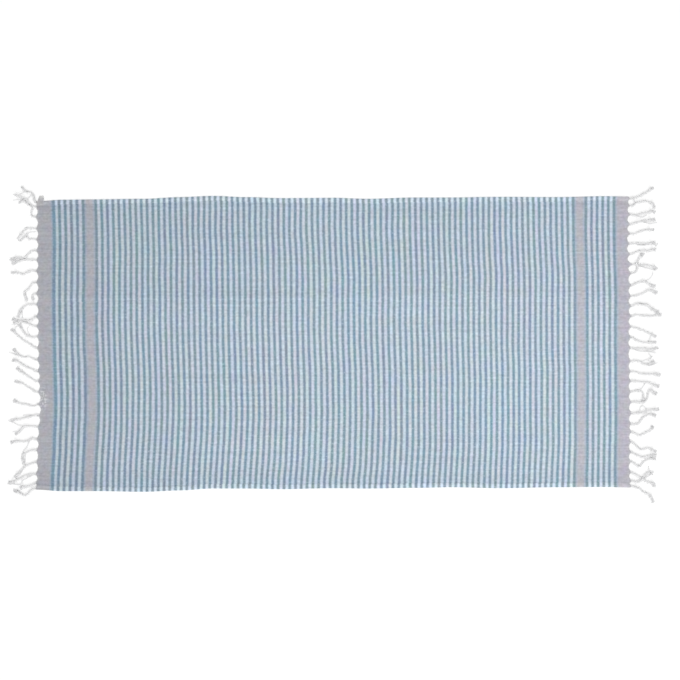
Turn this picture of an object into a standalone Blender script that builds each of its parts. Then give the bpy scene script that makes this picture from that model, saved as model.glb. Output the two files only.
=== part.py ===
"""Hammam towel, laid flat: a flat-woven cotton sheet with a narrow turned hem along
each long side and a fringe of twisted, knotted cords at each short end.

Frame: +X along the towel, +Y across it, +Z up; the towel lies on Z = 0 and the origin
is the middle of its footprint, tips of the fringe included.  Tables are in millimetres.
"""
import math
from collections import namedtuple

import bpy
import bmesh
from mathutils import Vector
from mathutils.geometry import delaunay_2d_cdt

# ------------------------------------------------------------------ driving dimensions
MM = 0.001

CLOTH_THICKNESS = 1.2       # one layer of slack flat weave, as it lies
HEM_WIDTH = 14.5            # turned and stitched hem along each long side
HEM_THICKNESS = 2.4         # the turning doubles the cloth
HEM_SHOULDER = 4.0          # run-out from the hem down to the single layer
SCALLOP_DEPTH = 5.0         # how far the end edge is drawn out at each cord
EDGE_STEP = 78.0            # spacing of the points along the long sides
GRID_X = 92.0               # spacing of the inner points along the towel
GRID_Y = 75.0               # and across it, away from the creases

PIECE_GAP = 0.35            # clearance between the cloth and its fringes
HEADING_DEPTH = 1.8         # strip of bare warp between the last weft and the cords
HEADING_THICKNESS = 1.2
ROOT_FLARE = 5.2            # half width of the gathered warp where a cord starts
CORD_RADIUS = 2.1
KNOT_RADIUS = 3.7
TAIL_RADIUS = 2.5
CORD_HEIGHT = 4.0
KNOT_HEIGHT = 6.4
CORD_EDGE_HEIGHT = 1.1      # height of a cord's solid along its outline
KNOT_AT = 0.76              # place of the end knot along a cord, 0 root to 1 tip
CORD_MARKS = [0.0, 0.1, 0.28, 0.5, 0.66, KNOT_AT, 0.87, 1.0]    # cross lines along a cord
CURVE_SAMPLES = 28          # points at which a cord's smooth route is read

# outline of the two long sides: distance along, top edge, bottom edge
Side = namedtuple("Side", "x top bottom")
SIDES = [
    Side(-921, 441, -449),
    Side(-840, 446, -455),
    Side(-740, 447, -455),
    Side(-585, 449, -457),
    Side(-480, 454, -453),
    Side(-375, 458, -447),
    Side(-270, 454, -447),
    Side(-165, 451, -449),
    Side(0, 452, -446),
    Side(100, 449, -447),
    Side(255, 453, -445),
    Side(360, 453, -443),
    Side(520, 455, -446),
    Side(680, 454, -443),
    Side(835, 457, -441),
    Side(918, 456, -443),
]

# outline of the two short ends between the cords: height up the towel, left, right
End = namedtuple("End", "y left right")
ENDS = [
    End(456, -916, 913),
    End(300, -915, 911),
    End(130, -914, 913),
    End(0, -913, 912),
    End(-130, -911, 913),
    End(-205, -908, 914),
    End(-280, -914, 914),
    End(-360, -917, 914),
    End(-456, -922, 916),
]

# the stub of turned hem that stands out of the top left corner
STUB_FROM, STUB_TO, STUB_OUT = -911.0, -895.0, 14.0

# fold lines pressed into the cloth, lying along the towel as soft ridges
Crease = namedtuple("Crease", "y x_from x_to height half_width")
CREASES = [
    Crease(147, -900, 900, 3.0, 26),
    Crease(-150, -690, -220, 1.4, 22),
]

# the cords: where each leaves the end edge, then three places it passes, out from the
# edge and up from its root; the last one is its tip
Cord = namedtuple("Cord", "root out1 up1 out2 up2 out3 up3")
LEFT_CORDS = [
    Cord(438, 11, 25, 28, 31, 44, 53),
    Cord(425, 12, 4, 36, 23, 66, 36),
    Cord(393, 13, 3, 14, 20, 30, 42),
    Cord(357, 19, 2, 38, -7, 59, -32),
    Cord(323, 15, 1, 27, 11, 54, -6),
    Cord(289, 21, -6, 38, -21, 82, -30),
    Cord(260, 21, 2, 48, -2, 76, -12),
    Cord(226, 15, 1, 36, -10, 78, -6),
    Cord(191, 13, -5, 34, -28, 28, -60),
    Cord(156, 6, -2, 12, -9, 9, -18),
    Cord(123, 15, 0, 36, -7, 56, -41),
    Cord(85, 20, -12, 43, -11, 72, -22),
    Cord(55, 19, 6, 41, 13, 76, 23),
    Cord(23, 10, -3, 38, 9, 56, 41),
    Cord(-12, 17, 8, 42, 24, 81, 60),
    Cord(-48, 16, 5, 44, 8, 72, 36),
    Cord(-84, 19, 6, 43, 20, 79, 34),
    Cord(-114, 17, 6, 42, 22, 68, 41),
    Cord(-148, 19, 8, 42, 23, 73, 33),
    Cord(-186, 13, -5, 48, 1, 78, 13),
    Cord(-221, 15, 0, 43, -7, 94, -16),
    Cord(-256, 24, 1, 43, 1, 70, -25),
    Cord(-295, 17, 3, 36, -7, 81, -11),
    Cord(-328, 17, -1, 40, -14, 41, -45),
    Cord(-365, 19, -7, 39, -17, 67, -50),
    Cord(-402, 12, 0, 43, -11, 87, -27),
    Cord(-430, 15, -8, 32, -12, 50, -18),
    Cord(-446, 14, -6, 32, -22, 71, -6),
]
RIGHT_CORDS = [
    Cord(450, 12, 3, 46, 16, 76, 36),
    Cord(429, 18, 5, 46, 12, 73, -5),
    Cord(401, 19, -3, 44, 4, 79, 4),
    Cord(370, 14, 4, 50, 11, 80, 16),
    Cord(342, 14, -1, 41, 9, 75, 14),
    Cord(310, 16, 0, 51, 0, 83, 2),
    Cord(278, 16, 5, 45, 10, 82, 13),
    Cord(246, 16, 1, 43, -2, 76, -17),
    Cord(219, 15, 6, 18, 30, 33, 60),
    Cord(181, 14, 6, 42, 12, 76, -4),
    Cord(148, 16, 2, 52, 18, 83, 8),
    Cord(117, 18, 7, 46, 4, 89, -16),
    Cord(86, 18, 4, 50, 2, 94, 2),
    Cord(54, 14, -5, 44, -16, 79, -32),
    Cord(21, 14, -7, 49, -17, 80, -17),
    Cord(-12, 14, -2, 52, -3, 86, 2),
    Cord(-53, 16, 1, 50, -10, 75, 2),
    Cord(-85, 16, -3, 50, -8, 94, -10),
    Cord(-114, 16, -2, 50, -5, 89, -19),
    Cord(-148, 16, 3, 37, -4, 35, -31),
    Cord(-180, 18, 1, 46, 10, 80, 28),
    Cord(-214, 17, 0, 50, 10, 86, 12),
    Cord(-247, 14, -1, 36, 19, 79, 25),
    Cord(-271, 16, -8, 45, -3, 66, 21),
    Cord(-302, 16, -14, 42, -22, 80, -32),
    Cord(-334, 14, -9, 46, -15, 81, -10),
    Cord(-363, 14, -9, 36, -6, 80, 9),
    Cord(-396, 16, -8, 45, -27, 74, -49),
    Cord(-423, 14, -2, 36, 12, 69, 24),
    Cord(-439, 14, -6, 46, -24, 71, -53),
]


# ------------------------------------------------------------------ small helpers
def along(table, key, column, at):
    """Smooth reading of one column of a table at a place between its rows."""
    rows = sorted(table, key=lambda row: getattr(row, key))
    keys = [getattr(row, key) for row in rows]
    vals = [getattr(row, column) for row in rows]
    if at <= keys[0]:
        return vals[0]
    if at >= keys[-1]:
        return vals[-1]
    i = max(k for k in range(len(keys) - 1) if keys[k] <= at)
    t = (at - keys[i]) / (keys[i + 1] - keys[i])
    t = t * t * (3 - 2 * t)
    return vals[i] + (vals[i + 1] - vals[i]) * t


def spline(points, samples):
    """Catmull-Rom curve through the points, read at evenly spaced lengths."""
    pts = [Vector(p) for p in points]
    pts = [pts[0] * 2 - pts[1]] + pts + [pts[-1] * 2 - pts[-2]]
    fine = []
    for i in range(1, len(pts) - 2):
        a, b, c, d = pts[i - 1:i + 3]
        for k in range(24):
            t = k / 24
            fine.append(0.5 * ((2 * b) + (c - a) * t + (2 * a - 5 * b + 4 * c - d) * t * t
                               + (3 * b - a - 3 * c + d) * t ** 3))
    fine.append(pts[-2])
    run = [0.0]
    for p, q in zip(fine, fine[1:]):
        run.append(run[-1] + (q - p).length)
    out = []
    for k in range(samples):
        want = run[-1] * k / (samples - 1)
        j = next((n for n in range(1, len(run)) if run[n] >= want - 1e-9), len(run) - 1)
        t = (want - run[j - 1]) / (run[j] - run[j - 1])
        out.append(fine[j - 1].lerp(fine[j], t))
    return out


def rise(x, y):
    """Height of the cloth's underside: zero but for the soft ridges."""
    z = 0.0
    for c in CREASES:
        d = abs(y - c.y) / c.half_width
        if d >= 1 or not c.x_from < x < c.x_to:
            continue
        ends = min(1.0, (x - c.x_from) / 60, (c.x_to - x) / 60)
        uneven = 0.85 + 0.15 * math.sin(x / 97.0 + c.y)
        z = max(z, c.height * uneven * ends * 0.5 * (1 + math.cos(math.pi * d)))
    return z


def end_edge(side, cords):
    """Points up one short end, bottom to top: drawn out at each cord's root and
    curving in between them.  Each is (x, y, index of the cord or None)."""
    out = -1 if side == "left" else 1
    ends = "left" if out < 0 else "right"
    low = along(SIDES, "x", "bottom", out * 918)
    high = along(SIDES, "x", "top", out * 918)
    roots = sorted((c.root, n) for n, c in enumerate(cords))
    marks = [(low, None)]
    for k, (root, n) in enumerate(roots):
        below = roots[k - 1][0] if k else low
        above = roots[k + 1][0] if k + 1 < len(roots) else high
        step_down, step_up = (root - below), (above - root)
        if k:
            marks.append((root - min(0.28 * step_down, ROOT_FLARE + 2), None))
        marks.append((root, n))
        if k + 1 < len(roots):
            marks.append((root + min(0.28 * step_up, ROOT_FLARE + 2), None))
    marks.append((high, None))
    points = []
    for y, n in marks:
        x = along(ENDS, "y", ends, y)
        reach = max(0.0, 1 - min(abs(y - r) for r, _ in roots) / 8.0)
        points.append((x + out * SCALLOP_DEPTH * reach ** 1.4, y, n))
    return points


def plan_mesh(name, corners, faces, edges, keep_faces_only):
    """Triangulate a plan (mm) and return an open mesh object lying at Z = 0."""
    verts, _, tris, _, _, owners = delaunay_2d_cdt(
        [Vector(c) for c in corners], edges, faces, 1, 1e-4)
    bm = bmesh.new()
    bv = [bm.verts.new((v.x, v.y, 0.0)) for v in verts]
    for tri, owner in zip(tris, owners):
        if keep_faces_only and not owner:
            continue
        bm.faces.new([bv[i] for i in tri])
    bmesh.ops.delete(bm, geom=[v for v in bm.verts if not v.link_faces], context="VERTS")
    bmesh.ops.recalc_face_normals(bm, faces=bm.faces)
    if sum(f.normal.z * f.calc_area() for f in bm.faces) < 0:
        bmesh.ops.reverse_faces(bm, faces=bm.faces)
    mesh = bpy.data.meshes.new(name)
    bm.to_mesh(mesh)
    bm.free()
    return mesh


def sheet_object(name, mesh, thickness_at, thickest, material, collection):
    """Give an open mesh its thickness upwards, read point by point."""
    obj = bpy.data.objects.new(name, mesh)
    collection.objects.link(obj)
    group = obj.vertex_groups.new(name="thickness")
    for v in mesh.vertices:
        group.add([v.index], thickness_at(v.co.x, v.co.y) / thickest, "REPLACE")
    for v in mesh.vertices:
        v.co = Vector((v.co.x, v.co.y, v.co.z)) * MM
    solid = obj.modifiers.new("thickness", "SOLIDIFY")
    solid.thickness = thickest * MM
    solid.offset = 1.0
    solid.vertex_group = "thickness"
    solid.thickness_vertex_group = 0.0
    mesh.materials.append(material)
    return obj


def fabric(name, colour, roughness):
    material = bpy.data.materials.new(name)
    material.use_nodes = True
    shader = material.node_tree.nodes["Principled BSDF"]
    shader.inputs["Base Color"].default_value = (*colour, 1.0)
    shader.inputs["Roughness"].default_value = roughness
    shader.inputs["Metallic"].default_value = 0.0
    return material


# ------------------------------------------------------------------ cloth
def build_cloth(collection, material):
    left = end_edge("left", LEFT_CORDS)
    right = end_edge("right", RIGHT_CORDS)

    def top(x):
        return along(SIDES, "x", "top", x)

    def bottom(x):
        return along(SIDES, "x", "bottom", x)

    x0, x1 = left[-1][0], right[-1][0]
    count = round((x1 - x0) / EDGE_STEP)
    stations = [x0 + (x1 - x0) * k / count for k in range(1, count)]
    upper = [(x, top(x)) for x in stations if not STUB_FROM - 6 < x < STUB_TO + 6]
    stub = [(STUB_FROM, top(STUB_FROM)), (STUB_FROM + 1, top(STUB_FROM) + STUB_OUT * 0.9),
            (STUB_TO - 3, top(STUB_TO) + STUB_OUT), (STUB_TO, top(STUB_TO))]
    lower = [(x, bottom(x)) for x in stations]

    outline = [(x, y) for x, y, _ in left]              # up the left end
    outline += sorted(upper + stub, key=lambda p: p[0])  # along the top
    outline += [(x, y) for x, y, _ in reversed(right)]   # down the right end
    outline += list(reversed(lower))                     # back along the bottom
    corners = list(outline)
    faces = [list(range(len(outline)))]

    # points inside: hem lines, crease lines and an even grid between them
    inset = 24.0
    columns = [(x0 + inset) + (x1 - x0 - 2 * inset) * k / round((x1 - x0) / GRID_X)
               for k in range(round((x1 - x0) / GRID_X) + 1)]
    hem_columns = [x0 + 9 + (x1 - x0 - 18) * k / (count + 1) for k in range(count + 2)]
    rows = []
    for c in CREASES:
        rows += [c.y + c.half_width * f for f in (-1, -0.5, 0, 0.5, 1)]
    rows += [k * GRID_Y for k in range(-5, 6)
             if all(abs(k * GRID_Y - c.y) > c.half_width for c in CREASES)]
    for x in columns:
        for y in rows:
            corners.append((x, y))
    for edge, sign in ((top, -1), (bottom, 1)):
        for x in hem_columns:
            corners.append((x, edge(x) + sign * HEM_WIDTH))
            corners.append((x, edge(x) + sign * (HEM_WIDTH + HEM_SHOULDER)))

    mesh = plan_mesh("towel_cloth", corners, faces, [], False)
    for v in mesh.vertices:
        v.co.z = rise(v.co.x, v.co.y)

    def thickness(x, y):
        near = min(top(x) - y, y - bottom(x))
        t = (near - HEM_WIDTH - 0.5) / HEM_SHOULDER
        return HEM_THICKNESS + (CLOTH_THICKNESS - HEM_THICKNESS) * min(1.0, max(0.0, t))

    return sheet_object("towel_cloth", mesh, thickness, HEM_THICKNESS, material, collection)


# ------------------------------------------------------------------ fringe
def cord_radius(t):
    """Half width of a cord from root (0) to tip (1): gathered root, twist, knot, tail."""
    gather = (ROOT_FLARE - CORD_RADIUS) * max(0.0, 1 - t / 0.12)
    knot = (KNOT_RADIUS - CORD_RADIUS) * math.exp(-((t - KNOT_AT) / 0.075) ** 2)
    tail = (TAIL_RADIUS - CORD_RADIUS) * max(0.0, (t - KNOT_AT) / (1 - KNOT_AT))
    return CORD_RADIUS + gather + knot + tail


def cord_height(t):
    start = HEADING_THICKNESS + (CORD_HEIGHT - HEADING_THICKNESS) * min(1.0, t / 0.12)
    knot = (KNOT_HEIGHT - CORD_HEIGHT) * math.exp(-((t - KNOT_AT) / 0.075) ** 2)
    return start + knot - 1.4 * max(0.0, (t - 0.9) / 0.1)


def build_fringe(name, side, cords, collection, material):
    out = -1 if side == "left" else 1
    edge = end_edge(side, cords)
    inner = [(x + out * PIECE_GAP, y) for x, y, _ in edge]
    outer = [(x + out * (PIECE_GAP + HEADING_DEPTH), y) for x, y, _ in edge]
    corners, faces, ribs = inner + outer, [], []
    n = len(edge)
    for k in range(n - 1):
        strip = [k, k + 1, n + k + 1, n + k]
        faces.append(strip if side == "left" else strip[::-1])

    for x, y, index in edge:
        if index is None:
            continue
        c = cords[index]
        root = (x + out * (PIECE_GAP + 0.9), y)
        foot = (x + out * (PIECE_GAP + 5.0), y + 0.25 * c.up1)
        path = spline([root, foot, (x + out * c.out1, y + c.up1),
                       (x + out * c.out2, y + c.up2), (x + out * c.out3, y + c.up3)],
                      CURVE_SAMPLES)
        line = []
        for t in CORD_MARKS:
            i = t * (len(path) - 1)
            a, b = path[int(i)], path[min(int(i) + 1, len(path) - 1)]
            p = a.lerp(b, i - int(i))
            j = min(int(i), len(path) - 2)
            run = (path[j + 1] - path[max(j - 1, 0)]).normalized()
            if t == 0.0:
                run = Vector((out, 0.0))
            line.append((p, Vector((-run.y, run.x)), cord_radius(t), cord_height(t)))
        first = len(corners)
        for p, across, radius, height in line:
            corners += [tuple(p - across * radius), tuple(p), tuple(p + across * radius)]
            ribs.append((p, radius, height))
        for k in range(len(line) - 1):
            a, b = first + 3 * k, first + 3 * (k + 1)
            faces.append([a, b, b + 1, a + 1])
            faces.append([a + 1, b + 1, b + 2, a + 2])
        ribs.append(None)

    def thickness(x, y):
        best = HEADING_THICKNESS
        at = Vector((x, y))
        for one, two in zip(ribs, ribs[1:]):
            if one is None or two is None:
                continue
            step = two[0] - one[0]
            t = min(1.0, max(0.0, (at - one[0]).dot(step) / step.length_squared))
            radius = one[1] + (two[1] - one[1]) * t
            height = one[2] + (two[2] - one[2]) * t
            d = (at - (one[0] + step * t)).length / radius
            if d < 1.05:
                arch = math.sqrt(max(0.0, 1 - d * d))
                best = max(best, CORD_EDGE_HEIGHT + (height - CORD_EDGE_HEIGHT) * arch)
        return best

    mesh = plan_mesh(name, corners, faces, [], True)
    return sheet_object(name, mesh, thickness, KNOT_HEIGHT, material, collection)


# ------------------------------------------------------------------ the towel
def main():
    for obj in list(bpy.data.objects):
        bpy.data.objects.remove(obj, do_unlink=True)
    towel = bpy.data.collections.new("hammam_towel")
    bpy.context.scene.collection.children.link(towel)
    striped = fabric("striped_cotton", (0.40, 0.48, 0.56), 0.92)
    white = fabric("cotton_cord", (0.80, 0.80, 0.79), 0.95)
    build_cloth(towel, striped)
    build_fringe("fringe_left", "left", LEFT_CORDS, towel, white)
    build_fringe("fringe_right", "right", RIGHT_CORDS, towel, white)
    for obj in towel.objects:
        for face in obj.data.polygons:
            face.use_smooth = False


main()
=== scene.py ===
"""Hammam towel laid flat on a plain pale floor and seen from straight above.

The cloth is one thin closed sheet with its turned hems, pressed folds and scalloped ends.
Each fringe is one piece of two-ply twisted cords with gathered roots, wrapped knots and
frayed tips.  Tables and helpers are in millimetres and the meshes are in metres.
"""
import math
from collections import namedtuple

import bpy
import numpy as np
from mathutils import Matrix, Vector
from mathutils.geometry import delaunay_2d_cdt


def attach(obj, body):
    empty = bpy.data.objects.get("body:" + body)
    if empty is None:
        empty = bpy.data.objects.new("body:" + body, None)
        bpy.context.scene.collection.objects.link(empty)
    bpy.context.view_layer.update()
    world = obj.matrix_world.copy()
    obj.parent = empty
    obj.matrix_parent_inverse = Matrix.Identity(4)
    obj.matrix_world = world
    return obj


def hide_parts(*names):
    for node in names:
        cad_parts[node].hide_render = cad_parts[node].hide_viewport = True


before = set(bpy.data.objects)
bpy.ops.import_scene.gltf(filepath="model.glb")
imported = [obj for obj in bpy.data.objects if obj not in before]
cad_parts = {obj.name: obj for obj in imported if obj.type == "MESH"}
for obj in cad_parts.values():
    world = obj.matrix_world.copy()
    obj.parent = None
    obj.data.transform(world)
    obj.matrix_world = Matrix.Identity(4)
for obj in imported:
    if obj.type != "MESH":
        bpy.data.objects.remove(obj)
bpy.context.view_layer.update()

MM = 0.001

# ------------------------------------------------------------------ shape of the towel
CLOTH_THICKNESS = 1.2
HEM_THICKNESS = 2.3
UNDERSIDE = 0.05            # clearance of the sheet's underside above the floor
STUB_FROM, STUB_TO, STUB_OUT = -911.0, -897.6, 17.0
CUSP = 7.4                  # how far a cord draws the end edge out
BULGE_ROOT, BULGE = 246, 5.5    # the one cord that draws it out further

Side = namedtuple("Side", "x top bottom")
SIDES = [
    Side(-921, 441, -450.2),
    Side(-840, 446, -455),
    Side(-740, 447, -455),
    Side(-585, 449, -457),
    Side(-480, 454, -453),
    Side(-375, 458, -447),
    Side(-270, 454, -447),
    Side(-165, 451, -449),
    Side(0, 452, -446),
    Side(100, 449, -447),
    Side(255, 453, -445),
    Side(360, 453, -443),
    Side(520, 455, -446),
    Side(680, 454, -443),
    Side(835, 457, -442),
    Side(918, 456, -444),
]

End = namedtuple("End", "y left right")
ENDS = [
    End(456, -916, 908),
    End(300, -914, 907),
    End(200, -914, 911),
    End(130, -914, 912),
    End(0, -912, 911),
    End(-130, -909, 912),
    End(-205, -906, 913),
    End(-280, -912, 913),
    End(-360, -915, 912),
    End(-456, -917, 913),
]
LOOSE_FROM = {"left": -918.6, "right": 915.5}   # the lines that loose plies are placed from

# height of the hem's surface at places in from its folded edge
Hem = namedtuple("Hem", "inward height")
HEM = [
    Hem(0.0, 0.35),
    Hem(0.9, 1.65),
    Hem(2.4, 2.20),
    Hem(6.0, 2.30),
    Hem(10.0, 2.25),
    Hem(12.0, 2.10),
    Hem(12.8, 1.60),
    Hem(13.6, 1.95),
    Hem(14.3, 1.85),
    Hem(14.8, 1.15),
    Hem(16.5, 1.10),
    Hem(19.5, 1.20),
]

# pressed folds along the towel: the crest's mean height across it and its run along it, its
# rise, how far its two sides reach, and the slight hollow at the foot of the steep side
Crease = namedtuple("Crease", "y x_from x_to height north south hollow")
CREASES = [
    Crease(143, -900, 900, 2.8, 34, 10, 0.13),
    Crease(-160, -690, -220, 1.4, 11, 24, 0.08),
]
Crest = namedtuple("Crest", "x off")        # how far the long crest strays from its mean
CREST = [
    Crest(-900, -7),
    Crest(-800, -6),
    Crest(-560, 1),
    Crest(-100, -1),
    Crest(300, -1),
    Crest(560, 1),
    Crest(830, 6),
    Crest(900, 7),
]

# faint folds across it
Cross = namedtuple("Cross", "x height half_width")
CROSSES = [
    Cross(-345, 0.45, 14),
    Cross(-230, 0.40, 12),
    Cross(0, 0.40, 13),
    Cross(221, 0.35, 12),
    Cross(437, 0.45, 16),
]

# ------------------------------------------------------------------ weave of the towel
# where the dark stripes lie: place along the towel and number of the stripe there
Count = namedtuple("Count", "x number")
COUNTS = [
    Count(-867.9, 0),
    Count(-777.6, 5),
    Count(-738.0, 7),
    Count(739.8, 91),
    Count(778.8, 93),
    Count(866.0, 98),
]
DARK_HALF = 0.20            # half width of a dark stripe, in stripe spacings
FIRST_HALF = 0.27           # that of the first one
END_HALF, END_SOFT = 0.245, 0.17    # where the first and last ones fade into the grey ends
PLAIN_HALF, PLAIN_SOFT = 0.785, 0.16    # the plain grey band near each end, from its middle
PLAIN_AT = (6, 92)          # their numbers in the count
LAST_STRIPE = 98

# how far the stripes lean along the towel, at heights across it
Lean = namedtuple("Lean", "y far_left left mid_left middle mid_right right far_right")
LEAN_AT = (-868, -691, -320, 51, 298, 670, 830)
LEANS = [
    Lean(420, 0.7, 2, 2, 2, 5, 0, 0),
    Lean(355, 1.8, 4, 2, 2, 5, 1, 0),
    Lean(283, 2.8, 5, 5, 5, 7, 3, 1),
    Lean(209, 1.8, 5, 6, 8, 10, 6, 3),
    Lean(134, 1.4, 5, 7, 8, 10, 6, 4),
    Lean(60, 2, 5, 7, 8, 10, 6, 4),
    Lean(-14, 3, 7, 9, 10, 12, 6, 4),
    Lean(-88, 5, 10, 11, 13, 14, 8, 5),
    Lean(-162, 7, 11, 13, 14, 14, 8, 5),
    Lean(-237, 6, 10, 13, 14, 14, 8, 4.8),
    Lean(-311, 3, 7, 10, 12, 14, 8, 4),
    Lean(-385, -1, 3, 5, 9, 10, 5, 3),
    Lean(-419, -3, 2, 3, 5, 8, 4, 3),
]

# ------------------------------------------------------------------ fringes
# each cord: the height of its root on the end edge, the places it passes, out from the edge
# and up from its root, down to its tip, and how thick it is beside the others
Cord = namedtuple("Cord", "root way girth", defaults=(1.0,))
LEFT_CORDS = [
    Cord(438, [(9, 22), (13, 30), (24, 31), (31, 33), (44, 51)], 0.72),
    Cord(425, [(10, 2), (24, 14), (36, 23), (48, 30), (66, 36)], 0.66),
    Cord(393, [(13, 3), (14, 14), (9, 27), (24, 39), (38, 49), (53, 43)], 0.70),
    Cord(357, [(19, 2), (30, 1), (38, -7), (48, -20), (59, -32)], 0.74),
    Cord(323, [(13, 2), (21, 1), (28, 10), (25, 19), (32, 12), (43, 2), (54, -6)], 0.74),
    Cord(289, [(8, 0), (21, -6), (36, -22), (54, -22), (68, -25), (81, -30)]),
    Cord(260, [(10, 1), (33, 1), (48, -2), (59, -6), (77, -12)]),
    Cord(226, [(15, 1), (36, -10), (48, -8), (57, -5), (78, -6)]),
    Cord(191, [(13, -5), (19, -15), (30, -25), (37, -33), (32, -45), (28, -60)]),
    Cord(156, [(6, -2), (12, -11), (9, -18), (5, -21)]),
    Cord(123, [(15, 0), (25, -1), (36, -7), (45, -15), (52, -27), (56, -41)]),
    Cord(85, [(10, -7), (20, -12), (43, -11), (55, -16), (72, -22)]),
    Cord(55, [(10, 2), (19, 6), (41, 13), (62, 19), (76, 23)]),
    Cord(23, [(10, -3), (23, 1), (31, 3), (38, 9), (45, 20), (56, 41)]),
    Cord(-12, [(5, 0), (17, 8), (42, 24), (63, 41), (71, 52), (81, 60)]),
    Cord(-48, [(7, 0), (26, 9), (36, 6), (54, 13), (68, 28), (72, 36)]),
    Cord(-84, [(6, 1), (32, 12), (55, 27), (65, 32), (79, 34)]),
    Cord(-114, [(7, -1), (17, 6), (42, 22), (54, 28), (59, 36), (68, 41)]),
    Cord(-148, [(8, 1), (32, 16), (42, 23), (55, 28), (73, 33)]),
    Cord(-186, [(2, -2), (13, -6), (30, -3), (59, 4), (78, 13)]),
    Cord(-221, [(4, 2), (15, 0), (31, -5), (59, -11), (74, -12), (88, -16)]),
    Cord(-256, [(8, 2), (24, 1), (43, 1), (50, -6), (56, -15), (70, -25)]),
    Cord(-295, [(7, 3), (17, 3), (24, -2), (36, -7), (68, -6), (81, -11)]),
    Cord(-328, [(6, 0), (17, -1), (36, -11), (42, -15), (43, -26), (40, -45)]),
    Cord(-365, [(10, -3), (30, -11), (46, -24), (59, -39), (67, -50)]),
    Cord(-402, [(12, 0), (31, -4), (43, -11), (57, -19), (66, -24), (87, -27)]),
    Cord(-430, [(6, -4), (17, -8), (28, -11), (41, -12), (49, -18)]),
    Cord(-446, [(10, -3), (19, -12), (26, -20), (36, -21), (45, -17), (55, -12), (71, -5)]),
]
RIGHT_CORDS = [
    Cord(450, [(10, 2), (22, 4), (46, 15), (56, 21), (64, 28), (75, 34)]),
    Cord(429, [(10, -2), (18, 5), (29, 9), (46, 12), (59, 10), (70, 4), (75, -4), (73, -12)]),
    Cord(401, [(7, -2), (19, -3), (44, 4), (55, 5), (66, 9), (79, 4)]),
    Cord(370, [(10, 3), (22, 6), (33, 9), (50, 11), (80, 16)]),
    Cord(342, [(10, -2), (30, 5), (56, 11), (66, 10), (75, 14)]),
    Cord(310, [(12, 0), (39, 0), (66, 1), (83, 2)]),
    Cord(278, [(10, 2), (22, 7), (41, 11), (56, 10), (71, 15), (82, 13)]),
    Cord(246, [(9, 1), (29, -2), (56, -4), (68, -9), (76, -17)]),
    Cord(219, [(9, 0), (16, 7), (19, 19), (17, 31), (24, 45), (33, 56), (34, 64)]),
    Cord(181, [(12, 5), (24, 10), (38, 13), (50, 8), (59, 2), (76, -4)]),
    Cord(148, [(12, 1), (29, 6), (52, 18), (63, 17), (72, 13), (83, 8)]),
    Cord(117, [(12, 5), (22, 7), (33, 5), (46, 4), (55, -1), (64, -9), (76, -15), (89, -16)]),
    Cord(86, [(10, 3), (22, 4), (33, 2), (62, 0), (74, 4), (86, 5), (94, 2)]),
    Cord(54, [(7, -3), (22, -6), (44, -16), (66, -26), (79, -32)]),
    Cord(21, [(10, -5), (22, -11), (33, -15), (49, -17), (70, -15), (80, -17)]),
    Cord(-12, [(10, -2), (33, -2), (64, -4), (76, -2), (86, 2)]),
    Cord(-53, [(10, 1), (26, -1), (38, -7), (50, -10), (61, -7), (75, 2)]),
    Cord(-85, [(10, -1), (33, -6), (50, -8), (79, -8), (94, -10)]),
    Cord(-114, [(12, -2), (26, -2), (50, -5), (62, -9), (89, -19)]),
    Cord(-148, [(14, 2), (26, 4), (36, -2), (39, -13), (40, -25), (33, -33)]),
    Cord(-180, [(12, 2), (37, 1), (47, 8), (51, 23), (54, 37), (62, 37), (68, 30), (81, 26)]),
    Cord(-214, [(17, 0), (31, 1), (50, 10), (64, 11), (74, 10), (86, 12)]),
    Cord(-247, [(12, -1), (23, 2), (30, 12), (36, 19), (52, 28), (64, 29), (79, 25)]),
    Cord(-271, [(9, -4), (25, -11), (33, -8), (56, 3), (63, 10), (66, 21)]),
    Cord(-302, [(10, -7), (28, -24), (39, -22), (50, -19), (59, -23), (80, -32)]),
    Cord(-334, [(10, -6), (33, -16), (46, -15), (59, -11), (71, -8), (81, -10)]),
    Cord(-363, [(9, -6), (27, -16), (32, -10), (38, -1), (50, 5), (63, 8), (80, 9)]),
    Cord(-396, [(10, -6), (22, -11), (45, -27), (57, -33), (70, -36), (74, -49)]),
    Cord(-423, [(12, -3), (24, -2), (32, 3), (37, 12), (45, 20), (55, 25), (69, 21)]),
    Cord(-439, [(17, -5), (29, -10), (36, -18), (46, -23), (56, -27), (62, -35), (71, -53)]),
]

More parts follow.
